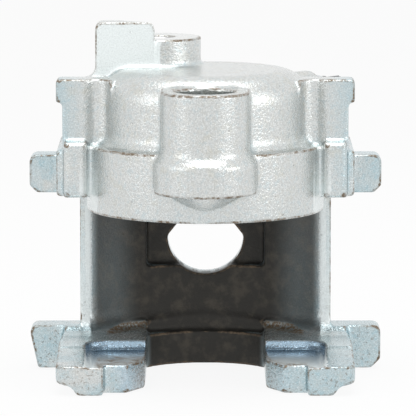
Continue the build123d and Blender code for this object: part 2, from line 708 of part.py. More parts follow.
shapes = {name: make() for name, make in NODES.items()}
solid_list = [solid for shape in shapes.values() for solid in shape.solids()]
box = Compound(solid_list).bounding_box()
middle = box.center()
to_origin = Pos(-middle.X, -middle.Y, -box.min.Z)

os.makedirs("parts", exist_ok=True)
for name, shape in shapes.items():
    solids = [to_origin * solid for solid in shape.solids()]
    export_step(Compound(solids) if len(solids) > 1 else solids[0], f"parts/{name}.step")
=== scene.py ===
"""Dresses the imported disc-brake caliper: zinc-plated casting, piston, boot and bleeder."""

import json
import logging
import math
from collections.abc import Callable, Sequence
from dataclasses import dataclass, field
from enum import Enum
from typing import Any

import bmesh
import bpy
import numpy as np
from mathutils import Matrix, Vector

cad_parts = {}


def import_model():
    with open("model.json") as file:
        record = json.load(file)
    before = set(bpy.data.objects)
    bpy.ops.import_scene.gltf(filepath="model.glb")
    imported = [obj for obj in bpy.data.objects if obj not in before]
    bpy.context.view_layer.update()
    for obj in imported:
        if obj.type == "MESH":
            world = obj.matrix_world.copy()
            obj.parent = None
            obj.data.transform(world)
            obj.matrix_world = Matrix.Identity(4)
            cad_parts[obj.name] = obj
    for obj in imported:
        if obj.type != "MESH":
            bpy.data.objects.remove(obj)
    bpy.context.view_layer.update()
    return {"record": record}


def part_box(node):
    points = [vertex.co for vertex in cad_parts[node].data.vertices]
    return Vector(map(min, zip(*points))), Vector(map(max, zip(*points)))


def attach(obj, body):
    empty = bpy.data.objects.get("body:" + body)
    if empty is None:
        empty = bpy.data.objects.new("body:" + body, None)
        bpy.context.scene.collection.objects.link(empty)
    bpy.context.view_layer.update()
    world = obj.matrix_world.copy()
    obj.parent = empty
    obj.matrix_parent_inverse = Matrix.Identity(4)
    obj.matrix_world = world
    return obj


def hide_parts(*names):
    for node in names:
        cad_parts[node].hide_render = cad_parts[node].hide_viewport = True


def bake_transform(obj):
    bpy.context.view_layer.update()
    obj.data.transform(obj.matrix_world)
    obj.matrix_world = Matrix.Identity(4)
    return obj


LOG = logging.getLogger("caliper")
MM = 0.001
Colour = tuple[float, float, float]
Point = tuple[float, float, float]
Profile = Sequence[tuple[float, float]]


class Body(Enum):
    """The rigid bodies that the pieces ride on."""

    HOUSING = "housing_body"
    PISTON = "piston_body"
    SCREW = "bleeder_screw_body"
    CAP = "bleeder_cap_body"


class Mark(Enum):
    """Per-vertex masks that the casting's finish reads."""

    MACHINED = "machined"
    EDGE = "edge"
    CAVITY = "cavity"
    # Painted shade inside the bridge and in the gap, and a faint painted reflection on the leg's
    # top.
    SOOT = "soot"
    STAIN = "stain"
    # Painted light.
    PALE = "pale"
    # Painted shade on the pad seats' rear walls, and a darker bluish tone on the fingers' fronts.
    FRESH = "fresh"


# --- node graphs


class Graph:
    """A node tree for a material, the world or Geometry Nodes."""

    def __init__(self, tree: bpy.types.NodeTree) -> None:
        """Starts from an empty tree."""
        self.tree = tree
        tree.nodes.clear()

    def add(self, kind: str, settings: dict[str, Any], sockets: dict[Any, Any]) -> bpy.types.Node:
        """Adds any node.

        Args:
            kind: The node's type.
            settings: Properties, set before the sockets.
            sockets: Input names or numbers, with wires, sockets or plain values.

        Returns:
            The new node.
        """
        node = self.tree.nodes.new(kind)
        for name, value in settings.items():
            setattr(node, name, value)
        for name, value in sockets.items():
            held = value.source if isinstance(value, Wire) else value
            if isinstance(held, bpy.types.NodeSocket):
                self.tree.links.new(held, node.inputs[name])
            else:
                node.inputs[name].default_value = held
        return node


class Wire:
    """A shader socket, or a number, that can be used in Python expressions."""

    def __init__(self, graph: Graph, source: Any) -> None:
        """Wraps an output socket or a plain number of a graph."""
        self.graph = graph
        self.source = source

    def _math(self, operation: str, first: Any, second: Any) -> "Wire":
        """Adds a Math node.

        Args:
            operation: The node's operation.
            first: First input, a wire or a number.
            second: Second input, a wire or a number.

        Returns:
            The result's wire.
        """
        sockets = {0: first, 1: second}
        node = self.graph.add("ShaderNodeMath", {"operation": operation}, sockets)
        return Wire(self.graph, node.outputs[0])

    def __add__(self, other: Any) -> "Wire":
        """Sum."""
        return self._math("ADD", self, other)

    def __radd__(self, other: Any) -> "Wire":
        """Sum with a number in front."""
        return self._math("ADD", other, self)

    def __sub__(self, other: Any) -> "Wire":
        """Difference."""
        return self._math("SUBTRACT", self, other)

    def __rsub__(self, other: Any) -> "Wire":
        """Difference with a number in front."""
        return self._math("SUBTRACT", other, self)

    def __mul__(self, other: Any) -> "Wire":
        """Product."""
        return self._math("MULTIPLY", self, other)

    def __rmul__(self, other: Any) -> "Wire":
        """Product with a number in front."""
        return self._math("MULTIPLY", other, self)

    def size(self) -> "Wire":
        """The value without its sign."""
        return self._math("ABSOLUTE", self, 0.0)

    def at_most(self, limit: float) -> "Wire":
        """The value, held below a limit."""
        return self._math("MINIMUM", self, limit)

    def step(self, low: float, high: float) -> "Wire":
        """Smooth step from 0 to 1.

        Args:
            low: Value that gives 0.
            high: Value that gives 1. It may be less than low.

        Returns:
            The step's wire.
        """
        settings = {"interpolation_type": "SMOOTHSTEP"}
        sockets = {"Value": self, "From Min": low, "From Max": high}
        node = self.graph.add("ShaderNodeMapRange", settings, sockets)
        return Wire(self.graph, node.outputs["Result"])


def backdrop_rays(graph: Graph, camera_share: float) -> Wire:
    """Which rays see the white background: the camera's, mirrored and refracted ones.

    Args:
        graph: The floor's or the world's graph.
        camera_share: How much of it the camera's rays see.

    Returns:
        0 for light on the object, up to 1 for the background.
    """
    path = graph.add("ShaderNodeLightPath", {}, {})
    seen = Wire(graph, path.outputs["Is Camera Ray"]) * camera_share
    for kind in ("Is Glossy Ray", "Is Transmission Ray"):
        seen = seen + Wire(graph, path.outputs[kind])
    return seen.at_most(1.0)


class VectorWire(Wire):
    """A wire that carries coordinates."""

    def stretched(self, factors: Point) -> "VectorWire":
        """Coordinates multiplied axis by axis.

        Args:
            factors: One factor for each axis.

        Returns:
            The stretched coordinates.
        """
        sockets = {0: self, 1: factors}
        node = self.graph.add("ShaderNodeVectorMath", {"operation": "MULTIPLY"}, sockets)
        return VectorWire(self.graph, node.outputs[0])

    def axis(self, name: str) -> Wire:
        """One coordinate, named X, Y or Z."""
        node = self.graph.add("ShaderNodeSeparateXYZ", {}, {0: self})
        return Wire(self.graph, node.outputs[name])

    def noise(self, size: float, detail: float = 2.0, rough: float = 0.5) -> Wire:
        """Noise of a given grain.

        Args:
            size: Size of one blotch in metres.
            detail: Number of finer layers.
            rough: Strength of the finer layers.

        Returns:
            The noise, between 0 and 1.
        """
        sockets = {"Vector": self, "Scale": 1.0 / size, "Detail": detail, "Roughness": rough}
        node = self.graph.add("ShaderNodeTexNoise", {"noise_dimensions": "3D"}, sockets)
        return Wire(self.graph, node.outputs["Fac"])

    def cells(self, size: float) -> Wire:
        """Distance to the nearest of scattered points.

        Args:
            size: Mean spacing of the points in metres.

        Returns:
            The distance, as a share of the spacing.
        """
        sockets = {"Vector": self, "Scale": 1.0 / size}
        node = self.graph.add("ShaderNodeTexVoronoi", {"feature": "F1"}, sockets)
        return Wire(self.graph, node.outputs["Distance"])


class Shader(Graph):
    """A material's graph, with the nodes that the finishes share."""

    def position(self) -> VectorWire:
        """Object coordinates."""
        node = self.add("ShaderNodeTexCoord", {}, {})
        return VectorWire(self, node.outputs["Object"])

    def mark(self, mark: Mark) -> Wire:
        """A per-vertex mask."""
        node = self.add("ShaderNodeAttribute", {"attribute_name": mark.value}, {})
        return Wire(self, node.outputs["Fac"])

    def mix(self, amount: Any, first: Any, second: Any) -> Wire:
        """Blends two colours.

        Args:
            amount: 0 for the first colour, 1 for the second.
            first: Wire or colour.
            second: Wire or colour.

        Returns:
            The blended colour.
        """
        pair = [c if isinstance(c, Wire) else (*c, 1.0) for c in (first, second)]
        sockets = {0: amount, 6: pair[0], 7: pair[1]}
        node = self.add("ShaderNodeMix", {"data_type": "RGBA"}, sockets)
        return Wire(self, node.outputs[2])

    def bump(self, height: Wire, depth: float) -> Wire:
        """Normal from a height.

        Args:
            height: Height between 0 and 1.
            depth: What 1 stands for, in metres.

        Returns:
            The normal.
        """
        node = self.add("ShaderNodeBump", {}, {"Height": height, "Distance": depth})
        return Wire(self, node.outputs["Normal"])


# --- finishes


@dataclass(frozen=True)
class Finish:
    """A surface finish. Subclasses say what varies over the surface."""

    name: str
    colour: Colour
    roughness: float = 0.4
    metallic: float = 1.0

    def material(self) -> bpy.types.Material:
        """Builds the material.

        Returns:
            The new material.
        """
        made = bpy.data.materials.new(self.name)
        made.use_nodes = True
        graph = Shader(made.node_tree)
        sockets: dict[Any, Any] = {
            "Base Color": (*self.colour, 1.0),
            "Roughness": self.roughness,
            "Metallic": self.metallic,
        }
        sockets.update(self.surface(graph))
        shader = graph.add("ShaderNodeBsdfPrincipled", {}, sockets)
        graph.add("ShaderNodeOutputMaterial", {}, {"Surface": shader.outputs[0]})
        return made

    def surface(self, graph: Shader) -> dict[str, Any]:
        """What varies over the surface.

        Args:
            graph: The material's graph.

        Returns:
            Shader input names with their wires or values.
        """
        return {}


@dataclass(frozen=True)
class CastZinc(Finish):
    """Bright zinc plate over an as-cast skin, smoother where it is machined."""

    shade: Colour = (0.30, 0.30, 0.30)
    # Painted glint colour.
    glint: Colour = (0.92, 0.93, 0.92)
    cool: Colour = (0.46, 0.61, 0.66)
    warm: Colour = (0.62, 0.61, 0.54)
    rust: Colour = (0.17, 0.12, 0.075)
    # Painted shade colours, near-black and a little brown.
    soot: Colour = (0.031, 0.029, 0.025)
    ash: Colour = (0.085, 0.073, 0.057)
    # Painted light colour.
    pale: Colour = (0.88, 0.94, 0.94)
    # Dark blue for the painted shade in the pad seats and the tone on the fingers' fronts.
    fresh: Colour = (0.38, 0.53, 0.66)
    grain: float = 0.90 * MM
    fine_grain: float = 0.42 * MM
    grain_depth: float = 0.22 * MM
    pit: float = 2.6 * MM
    speck: float = 0.9 * MM
    fleck: float = 1.4 * MM
    patch: float = 4.5 * MM
    blotch: float = 13 * MM
    side: tuple[float, float] = (35 * MM, 47 * MM)
    low: tuple[float, float] = (66 * MM, 20 * MM)
    rusty_below: tuple[float, float] = (40 * MM, 13 * MM)

    def surface(self, graph: Shader) -> dict[str, Any]:
        """Grain, tints, painted shade, painted light, painted glints, edge wear, stains and pits.

        Args:
            graph: The material's graph.

        Returns:
            Colour, roughness, metallic share and normal.
        """
        where = graph.position()
        machined = graph.mark(Mark.MACHINED)
        soot = graph.mark(Mark.SOOT)
        stain = graph.mark(Mark.STAIN)
        pale = graph.mark(Mark.PALE)
        fresh = graph.mark(Mark.FRESH)
        cast = 1.0 - (0.85 * machined + 0.35 * pale).at_most(1.0)
        grain = where.noise(self.grain, 2.0, 0.55)
        fine = where.noise(self.fine_grain, 1.5, 0.5)
        drift = where.noise(self.patch, 4.0, 0.6)
        speck = where.noise(self.speck, 2.0, 0.6)
        pits = where.cells(self.pit).step(0.17, 0.06) * drift.step(0.52, 0.62) * cast
        height = (0.50 * grain + 0.50 * fine) * cast - 0.5 * pits
        dots = speck.step(0.42, 0.54)
        dirt = graph.mark(Mark.EDGE).step(0.18, 0.60) * (0.35 + 0.65 * drift.step(0.42, 0.56))
        specks = where.axis("Z").step(*self.rusty_below) * speck.step(0.59, 0.69)
        specks = specks * (0.5 * cast) * (1.0 - soot)
        rusty = 0.95 * dirt * (0.35 + 0.65 * dots) + stain * (0.45 + 0.55 * dots) + specks
        rusty = rusty.at_most(1.0)
        colour = self._tints(graph, where, drift)
        # Painted shade: dark blue on the pad seats' rear walls, and a darker bluish tone on the
        # fingers' fronts.
        colour = graph.mix(fresh, colour, self.fresh)
        # Painted light: brighter colour on the tab, strips, pad-seat floors, wing corners and the
        # leg's ledge.
        colour = graph.mix(pale * 0.92, colour, self.pale)
        colour = graph.mix(fine.step(0.60, 0.34) * 0.26 * cast, colour, self.shade)
        # Painted glints: bright specks in the colour.
        colour = graph.mix(fine.step(0.56, 0.70) * 0.28 * cast, colour, self.glint)
        colour = graph.mix((pits * 0.7).at_most(1.0), colour, self.shade)
        # Painted shade: near-black, a little brown in places, inside the bridge and in the gap,
        # plus a faint painted reflection of the dark inside on the leg's top.
        dust = graph.mix(drift.step(0.45, 0.70) * 0.6, self.soot, self.ash)
        colour = graph.mix(soot, colour, dust)
        colour = graph.mix(rusty, colour, self.rust)
        rough = self.roughness + 0.12 * (grain - 0.5) - 0.05 * machined
        dull = 0.12 + 0.40 * soot + 0.5 * rusty + 0.45 * pale + 0.4 * pale * fresh
        return {
            "Base Color": colour,
            "Roughness": rough + 0.30 * soot + 0.20 * rusty,
            "Metallic": 1.0 - dull.at_most(1.0),
            "Normal": graph.bump(height, self.grain_depth),
        }

    def _tints(self, graph: Shader, where: VectorWire, drift: Wire) -> Wire:
        """Bluish tint low down and at the sides, painted shade in hollows as a bluer, darker
        colour, and warm patches elsewhere.

        Args:
            graph: The material's graph.
            where: Object coordinates.
            drift: Noise that places the warm patches.

        Returns:
            The colour.
        """
        cavity = graph.mark(Mark.CAVITY)
        blotch = where.noise(self.blotch, 3.0, 0.55)
        fleck = where.noise(self.fleck, 3.0, 0.65)
        low = where.axis("Z").step(*self.low)
        beside = where.axis("X").size().step(*self.side)
        place = (low + beside).at_most(1.0)
        cool = 0.75 * place * blotch.step(0.26, 0.55)
        # Painted shade: hollows turn bluer and darker.
        cool = cool + 0.3 * cavity + 0.28 * fleck.step(0.48, 0.36)
        warm = drift.step(0.52, 0.70) * 0.45 + 0.25 * fleck.step(0.53, 0.66)
        warm = (warm * (1.0 - 0.6 * place)).at_most(1.0)
        cool = cool.at_most(1.0)
        return graph.mix(warm, graph.mix(cool, self.colour, self.cool), self.warm)


@dataclass(frozen=True)
class TurnedMetal(Finish):
    """Turned or plated metal with faint rings and a light tarnish."""

    pitch: float = 0.3 * MM
    depth: float = 0.006 * MM
    tarnish: Colour = (0.40, 0.39, 0.37)

    def surface(self, graph: Shader) -> dict[str, Any]:
        """Tool rings and tarnish.

        Args:
            graph: The material's graph.

        Returns:
            Colour, roughness and normal.
        """
        where = graph.position()
        rings = where.stretched((0.02, 0.02, 1.0)).noise(self.pitch, 1.0, 0.4)
        drift = where.noise(6 * MM, 3.0, 0.6)
        return {
            "Base Color": graph.mix(drift.step(0.5, 0.75) * 0.4, self.colour, self.tarnish),
            "Roughness": self.roughness + 0.12 * (drift - 0.5),
            "Normal": graph.bump(rings, self.depth),
        }


@dataclass(frozen=True)
class Rubber(Finish):
    """Moulded black rubber with a little bloom."""

    metallic: float = 0.0
    bloom: Colour = (0.075, 0.075, 0.077)

    def surface(self, graph: Shader) -> dict[str, Any]:
        """Bloom and a fine skin.

        Args:
            graph: The material's graph.

        Returns:
            Colour, roughness and normal.
        """
        where = graph.position()
        skin = where.noise(0.5 * MM, 2.0, 0.6)
        drift = where.noise(4 * MM, 3.0, 0.6)
        return {
            "Base Color": graph.mix(drift.step(0.45, 0.75) * 0.5, self.colour, self.bloom),
            "Roughness": self.roughness + 0.15 * (drift - 0.5),
            "Normal": graph.bump(skin, 0.02 * MM),
        }


ZINC = CastZinc("zinc_casting", (0.68, 0.70, 0.69), 0.21)
CHROME = TurnedMetal("hard_chrome", (0.62, 0.63, 0.65), 0.18)
STEEL = TurnedMetal("pressed_steel", (0.50, 0.50, 0.51), 0.34)
PLATED = TurnedMetal("plated_bleeder", (0.60, 0.63, 0.65), 0.30)
SEAL_RUBBER = Rubber("seal_rubber", (0.018, 0.018, 0.019), 0.55)
BOOT_RUBBER = Rubber("boot_rubber", (0.022, 0.022, 0.023), 0.60)
CAP_RUBBER = Rubber("cap_rubber", (0.020, 0.020, 0.021), 0.50)


# --- mesh helpers


def new_object(name: str, mesh: bpy.types.Mesh) -> bpy.types.Object:
    """Links a mesh as an object at the origin.

    Args:
        name: The piece's name.
        mesh: Its mesh.

    Returns:
        The object.
    """
    made = bpy.data.objects.new(name, mesh)
    bpy.context.scene.collection.objects.link(made)
    return made


def bridge(
    work: bmesh.types.BMesh, first: list[bmesh.types.BMVert], second: list[bmesh.types.BMVert]
) -> None:
    """Adds the faces between two rings of vertices.

    Args:
        work: The mesh being built.
        first: One ring, or a single vertex.
        second: The next ring, or a single vertex.
    """
    count = max(len(first), len(second))
    for step in range(count):
        after = (step + 1) % count
        corners = [first[step % len(first)], first[after % len(first)]]
        corners += [second[after % len(second)], second[step % len(second)]]
        face = list(dict.fromkeys(corners))
        if len(face) > 2:
            work.faces.new(face)


def finish_mesh(name: str, work: bmesh.types.BMesh) -> bpy.types.Object:
    """Turns a built mesh into an object, with its faces outwards.

    Args:
        name: The piece's name.
        work: The mesh being built, freed afterwards.

    Returns:
        The object.
    """
    bmesh.ops.recalc_face_normals(work, faces=work.faces)
    mesh = bpy.data.meshes.new(name)
    work.to_mesh(mesh)
    work.free()
    return new_object(name, mesh)


def apply_modifiers(piece: bpy.types.Object) -> None:
    """Turns a piece's modifiers into plain mesh.

    Args:
        piece: The piece.
    """
    graph = bpy.context.evaluated_depsgraph_get()
    graph.update()
    baked = bpy.data.meshes.new_from_object(piece.evaluated_get(graph))
    piece.modifiers.clear()
    old = piece.data
    piece.data = baked
    bpy.data.meshes.remove(old)


def read_rows(items: Any, name: str, width: int, kind: type = np.float32) -> np.ndarray:
    """Reads a property of every vertex or edge.

    Args:
        items: The mesh's vertices or edges.
        name: The property.
        width: Numbers in each item.
        kind: Type that Blender stores.

    Returns:
        One row for each item.
    """
    flat = np.empty(len(items) * width, kind)
    items.foreach_get(name, flat)
    rows = flat.reshape(-1, width)
    return rows.astype(np.float64) if kind is np.float32 else rows


def smoothstep(low: float, high: float, value: np.ndarray) -> np.ndarray:
    """Smooth step from 0 at low to 1 at high.

    Args:
        low: Value that gives 0.
        high: Value that gives 1. It may be less than low.
        value: The values.

    Returns:
        The steps.
    """
    part = np.clip((value - low) / (high - low), 0.0, 1.0)
    return part * part * (3.0 - 2.0 * part)


class Skin:
    """A mesh's vertices and edges as arrays, for smoothing and for measuring its bends."""

    def __init__(self, mesh: bpy.types.Mesh) -> None:
        """Reads the mesh.

        Args:
            mesh: The mesh, with no modifiers left to apply.
        """
        self.mesh = mesh
        self.points = read_rows(mesh.vertices, "co", 3)
        self.normals = read_rows(mesh.vertices, "normal", 3)
        self.ends = read_rows(mesh.edges, "vertices", 2, np.int32).astype(np.int64)
        met = np.bincount(self.ends.ravel(), minlength=len(self.points))
        self.count = np.maximum(met, 1).astype(np.float64)

    def average(self, values: np.ndarray) -> np.ndarray:
        """Mean of each vertex's neighbours.

        Args:
            values: One number for each vertex.

        Returns:
            The means.
        """
        first, second = self.ends[:, 0], self.ends[:, 1]
        total = np.bincount(first, values[second], len(values))
        total += np.bincount(second, values[first], len(values))
        return total / self.count

    def bend(self, rounds: int) -> np.ndarray:
        """Curvature at each vertex, above 0 on outer edges and below 0 in hollows.

        Args:
            rounds: How often it is averaged.

        Returns:
            The curvature in 1/metre.
        """
        first, second = self.ends[:, 0], self.ends[:, 1]
        span = self.points[second] - self.points[first]
        length = np.maximum((span**2).sum(axis=1), 1e-14)
        turn = ((self.normals[second] - self.normals[first]) * span).sum(axis=1) / length
        size = len(self.points)
        bend = (np.bincount(first, turn, size) + np.bincount(second, turn, size)) / self.count
        for _ in range(rounds):
            bend = 0.4 * bend + 0.6 * self.average(bend)
        return bend

    def relax(self, weight: np.ndarray) -> None:
        """Moves each vertex towards the middle of its neighbours.

        Args:
            weight: Share of the way, one for each vertex.
        """
        for axis in range(3):
            column = self.points[:, axis]
            self.points[:, axis] = column + weight * (self.average(column) - column)

    def store(self) -> None:
        """Writes the moved vertices back."""
        self.mesh.vertices.foreach_set("co", self.points.astype(np.float32).ravel())
        self.mesh.update()

    def mark(self, mark: Mark, values: np.ndarray) -> None:
        """Stores a mask on the vertices.

        Args:
            mark: Which mask.
            values: One number for each vertex.
        """
        layer = self.mesh.attributes.new(mark.value, "FLOAT", "POINT")
        layer.data.foreach_set("value", np.clip(values, 0.0, 1.0).astype(np.float32))


@dataclass(frozen=True)
class Axis:
    """A line that turned pieces are built on."""

    origin: Vector
    direction: Vector

    def place(self, radius: float, along: float, turn: float) -> Vector:
        """Point at a radius, a distance along the axis and an angle about it.

        Args:
            radius: Distance from the axis.
            along: Distance from the origin along the axis.
            turn: Angle in radians.

        Returns:
            The point.
        """
        side = self.direction.orthogonal().normalized()
        other = self.direction.cross(side)
        spoke = side * math.cos(turn) + other * math.sin(turn)
        return self.origin + self.direction * along + spoke * radius


@dataclass(frozen=True)
class Lathe:
    """Turns a closed profile of (radius, along) about an axis."""

    axis: Axis
    segments: int = 96

    def turn(
        self,
        name: str,
        profile: Profile,
        reach: Callable[[float, float, float], float] | None = None,
    ) -> bpy.types.Object:
        """Makes a closed piece of revolution.

        Args:
            name: The piece's name.
            profile: Closed loop of (radius, along), with no point twice.
            reach: Radius from (radius, along, turn), for a piece that isn't round.

        Returns:
            The object.
        """
        work = bmesh.new()
        rings = [self._ring(work, radius, along, reach) for radius, along in profile]
        for first, second in zip(rings, rings[1:] + rings[:1]):
            bridge(work, first, second)
        return finish_mesh(name, work)

    def _ring(
        self,
        work: bmesh.types.BMesh,
        radius: float,
        along: float,
        reach: Callable[[float, float, float], float] | None,
    ) -> list[bmesh.types.BMVert]:
        """Adds one ring of vertices, or a single one on the axis.

        Args:
            work: The mesh being built.
            radius: Distance from the axis.
            along: Distance along the axis.
            reach: Radius from (radius, along, turn), or None for a round ring.

        Returns:
            The new vertices.
        """
        if radius <= 0.0:
            return [work.verts.new(self.axis.place(0.0, along, 0.0))]
        ring = []
        for step in range(self.segments):
            turn = math.tau * step / self.segments
            wide = reach(radius, along, turn) if reach else radius
            ring.append(work.verts.new(self.axis.place(wide, along, turn)))
        return ring


@dataclass(frozen=True)
class Repeat:
    """Geometry Nodes that repeat a piece along and around an axis."""

    count: int
    axis: Axis
    step: float = 0.0
    turn: float = 0.0

    def apply(self, piece: bpy.types.Object, material: bpy.types.Material) -> None:
        """Repeats a piece and turns the result into plain mesh.

        Args:
            piece: The first copy, in its place.
            material: Material of every copy.
        """
        tree, names = self._tree()
        modifier = piece.modifiers.new("repeat", "NODES")
        modifier.node_group = tree
        modifier[names["Count"]] = self.count
        modifier[names["Step"]] = self.step
        modifier[names["Turn"]] = self.turn
        modifier[names["Origin"]] = tuple(self.axis.origin)
        modifier[names["Direction"]] = tuple(self.axis.direction)
        modifier[names["Material"]] = material
        apply_modifiers(piece)

    def _tree(self) -> tuple[bpy.types.NodeTree, dict[str, str]]:
        """Builds the node group.

        Returns:
            The group and the identifiers of its named inputs.
        """
        tree = bpy.data.node_groups.new("repeat", "GeometryNodeTree")
        graph = Graph(tree)
        kinds = {
            "Geometry": "NodeSocketGeometry",
            "Count": "NodeSocketInt",
            "Step": "NodeSocketFloat",
            "Turn": "NodeSocketFloat",
            "Origin": "NodeSocketVector",
            "Direction": "NodeSocketVector",
            "Material": "NodeSocketMaterial",
        }
        names = {}
        for name, kind in kinds.items():
            socket = tree.interface.new_socket(name, in_out="INPUT", socket_type=kind)
            names[name] = socket.identifier
        tree.interface.new_socket("Geometry", in_out="OUTPUT", socket_type="NodeSocketGeometry")
        given = graph.add("NodeGroupInput", {}, {}).outputs
        index = graph.add("GeometryNodeInputIndex", {}, {}).outputs[0]
        times = {"operation": "MULTIPLY"}
        angle = graph.add("ShaderNodeMath", times, {0: index, 1: given["Turn"]}).outputs[0]
        along = graph.add("ShaderNodeMath", times, {0: index, 1: given["Step"]}).outputs[0]
        around = {"Vector": given["Origin"], "Axis": given["Direction"], "Angle": angle}
        turned = graph.add("ShaderNodeVectorRotate", {"rotation_type": "AXIS_ANGLE"}, around)
        shift = {0: given["Origin"], 1: turned.outputs[0]}
        back = graph.add("ShaderNodeVectorMath", {"operation": "SUBTRACT"}, shift)
        slide = {0: given["Direction"], "Scale": along}
        forward = graph.add("ShaderNodeVectorMath", {"operation": "SCALE"}, slide)
        both = {0: back.outputs[0], 1: forward.outputs[0]}
        place = graph.add("ShaderNodeVectorMath", {"operation": "ADD"}, both)
        points = graph.add("GeometryNodePoints", {}, {"Count": given["Count"]})
        moved = {"Geometry": points.outputs[0], "Position": place.outputs[0]}
        spread = graph.add("GeometryNodeSetPosition", {}, moved)
        spin = {"Axis": given["Direction"], "Angle": angle}
        turn = graph.add("FunctionNodeAxisAngleToRotation", {}, spin)
        copies = {
            "Points": spread.outputs[0],
            "Instance": given["Geometry"],
            "Rotation": turn.outputs[0],
        }
        every = graph.add("GeometryNodeInstanceOnPoints", {}, copies)
        real = graph.add("GeometryNodeRealizeInstances", {}, {0: every.outputs[0]})
        painted = {"Geometry": real.outputs[0], "Material": given["Material"]}
        last = graph.add("GeometryNodeSetMaterial", {}, painted)
        graph.add("NodeGroupOutput", {}, {0: last.outputs[0]})
        return tree, names


def dress(piece: bpy.types.Object, finish: Finish, body: Body) -> None:
    """Gives a piece its finish and body.

    Args:
        piece: The piece.
        finish: Its finish.
        body: What it rides on.
    """
    if not piece.data.materials:
        piece.data.materials.append(finish.material())
    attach(piece, body.value)
    LOG.info("%s: %d faces on %s", piece.name, len(piece.data.polygons), body.value)


def sharpen(piece: bpy.types.Object, degrees: float = 35.0) -> None:
    """Smooth shading with edges kept sharp past an angle."""
    piece.data.shade_smooth()
    piece.data.set_sharp_from_angle(angle=math.radians(degrees))


def repaint(node: str, finish: Finish) -> None:
    """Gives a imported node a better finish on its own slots.

    Args:
        node: The node's name.
        finish: Its finish.
    """
    mesh = bpy.data.objects[node].data
    made = finish.material()
    for index in range(len(mesh.materials)):
        mesh.materials[index] = made
    LOG.info("%s: packed node in %s", node, finish.name)


# --- places


@dataclass
class Places:
    """Where the caliper's features lie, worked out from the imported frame, in metres."""

    record: dict[str, Any]
    axis_y: float = field(init=False)
    mouth_z: float = field(init=False)
    face_z: float = field(init=False)
    bore_r: float = field(init=False)

    def __post_init__(self) -> None:
        """Reads the boxes of the nodes."""
        low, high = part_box("piston")
        self.axis_y = (low.y + high.y) / 2
        self.bore_r = (high.x - low.x) / 2
        self.face_z = low.z
        self.mouth_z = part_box("boot_retaining_ring")[0].z - 0.5 * MM

    def mount(self, name: str) -> dict[str, Any]:
        """A mount from the record."""
        return next(mount for mount in self.record["mounts"] if mount["name"] == name)

    def spot(self, name: str) -> Vector:
        """A mount's position."""
        return Vector(self.mount(name)["pos_m"])

    def radius(self, name: str) -> float:
        """A round mount's radius."""
        return self.mount(name)["dims"]["r_mm"] * MM

    def cylinder(self) -> Axis:
        """The cylinder's axis, upwards from the ground."""
        return Axis(Vector((0.0, self.axis_y, 0.0)), Vector((0.0, 0.0, 1.0)))

    def bleeder(self) -> Axis:
        """The bleeder's axis, outwards from the cylinder's.

        Returns:
            The axis.
        """
        joints = self.record["behaviour"]["joints"]
        turn = next(joint for joint in joints if joint["name"] == "bleeder_turn")
        return Axis(Vector(turn["pos_m"]), Vector(turn["axis"]).normalized())


# --- casting


@dataclass(frozen=True)
class Ground:
    """The casting's vertices measured from the cylinder's axis, with their normals."""

    x: np.ndarray
    y: np.ndarray
    z: np.ndarray
    across: np.ndarray
    backward: np.ndarray
    upward: np.ndarray

    @classmethod
    def of(cls, skin: Skin, axis_y: float) -> "Ground":
        """Reads a skin.

        Args:
            skin: The casting's points and normals.
            axis_y: Where the cylinder's axis lies.

        Returns:
            The measured vertices.
        """
        x, y, z = skin.points[:, 0], skin.points[:, 1] - axis_y, skin.points[:, 2]
        return cls(x, y, z, np.abs(x), skin.normals[:, 1], skin.normals[:, 2])


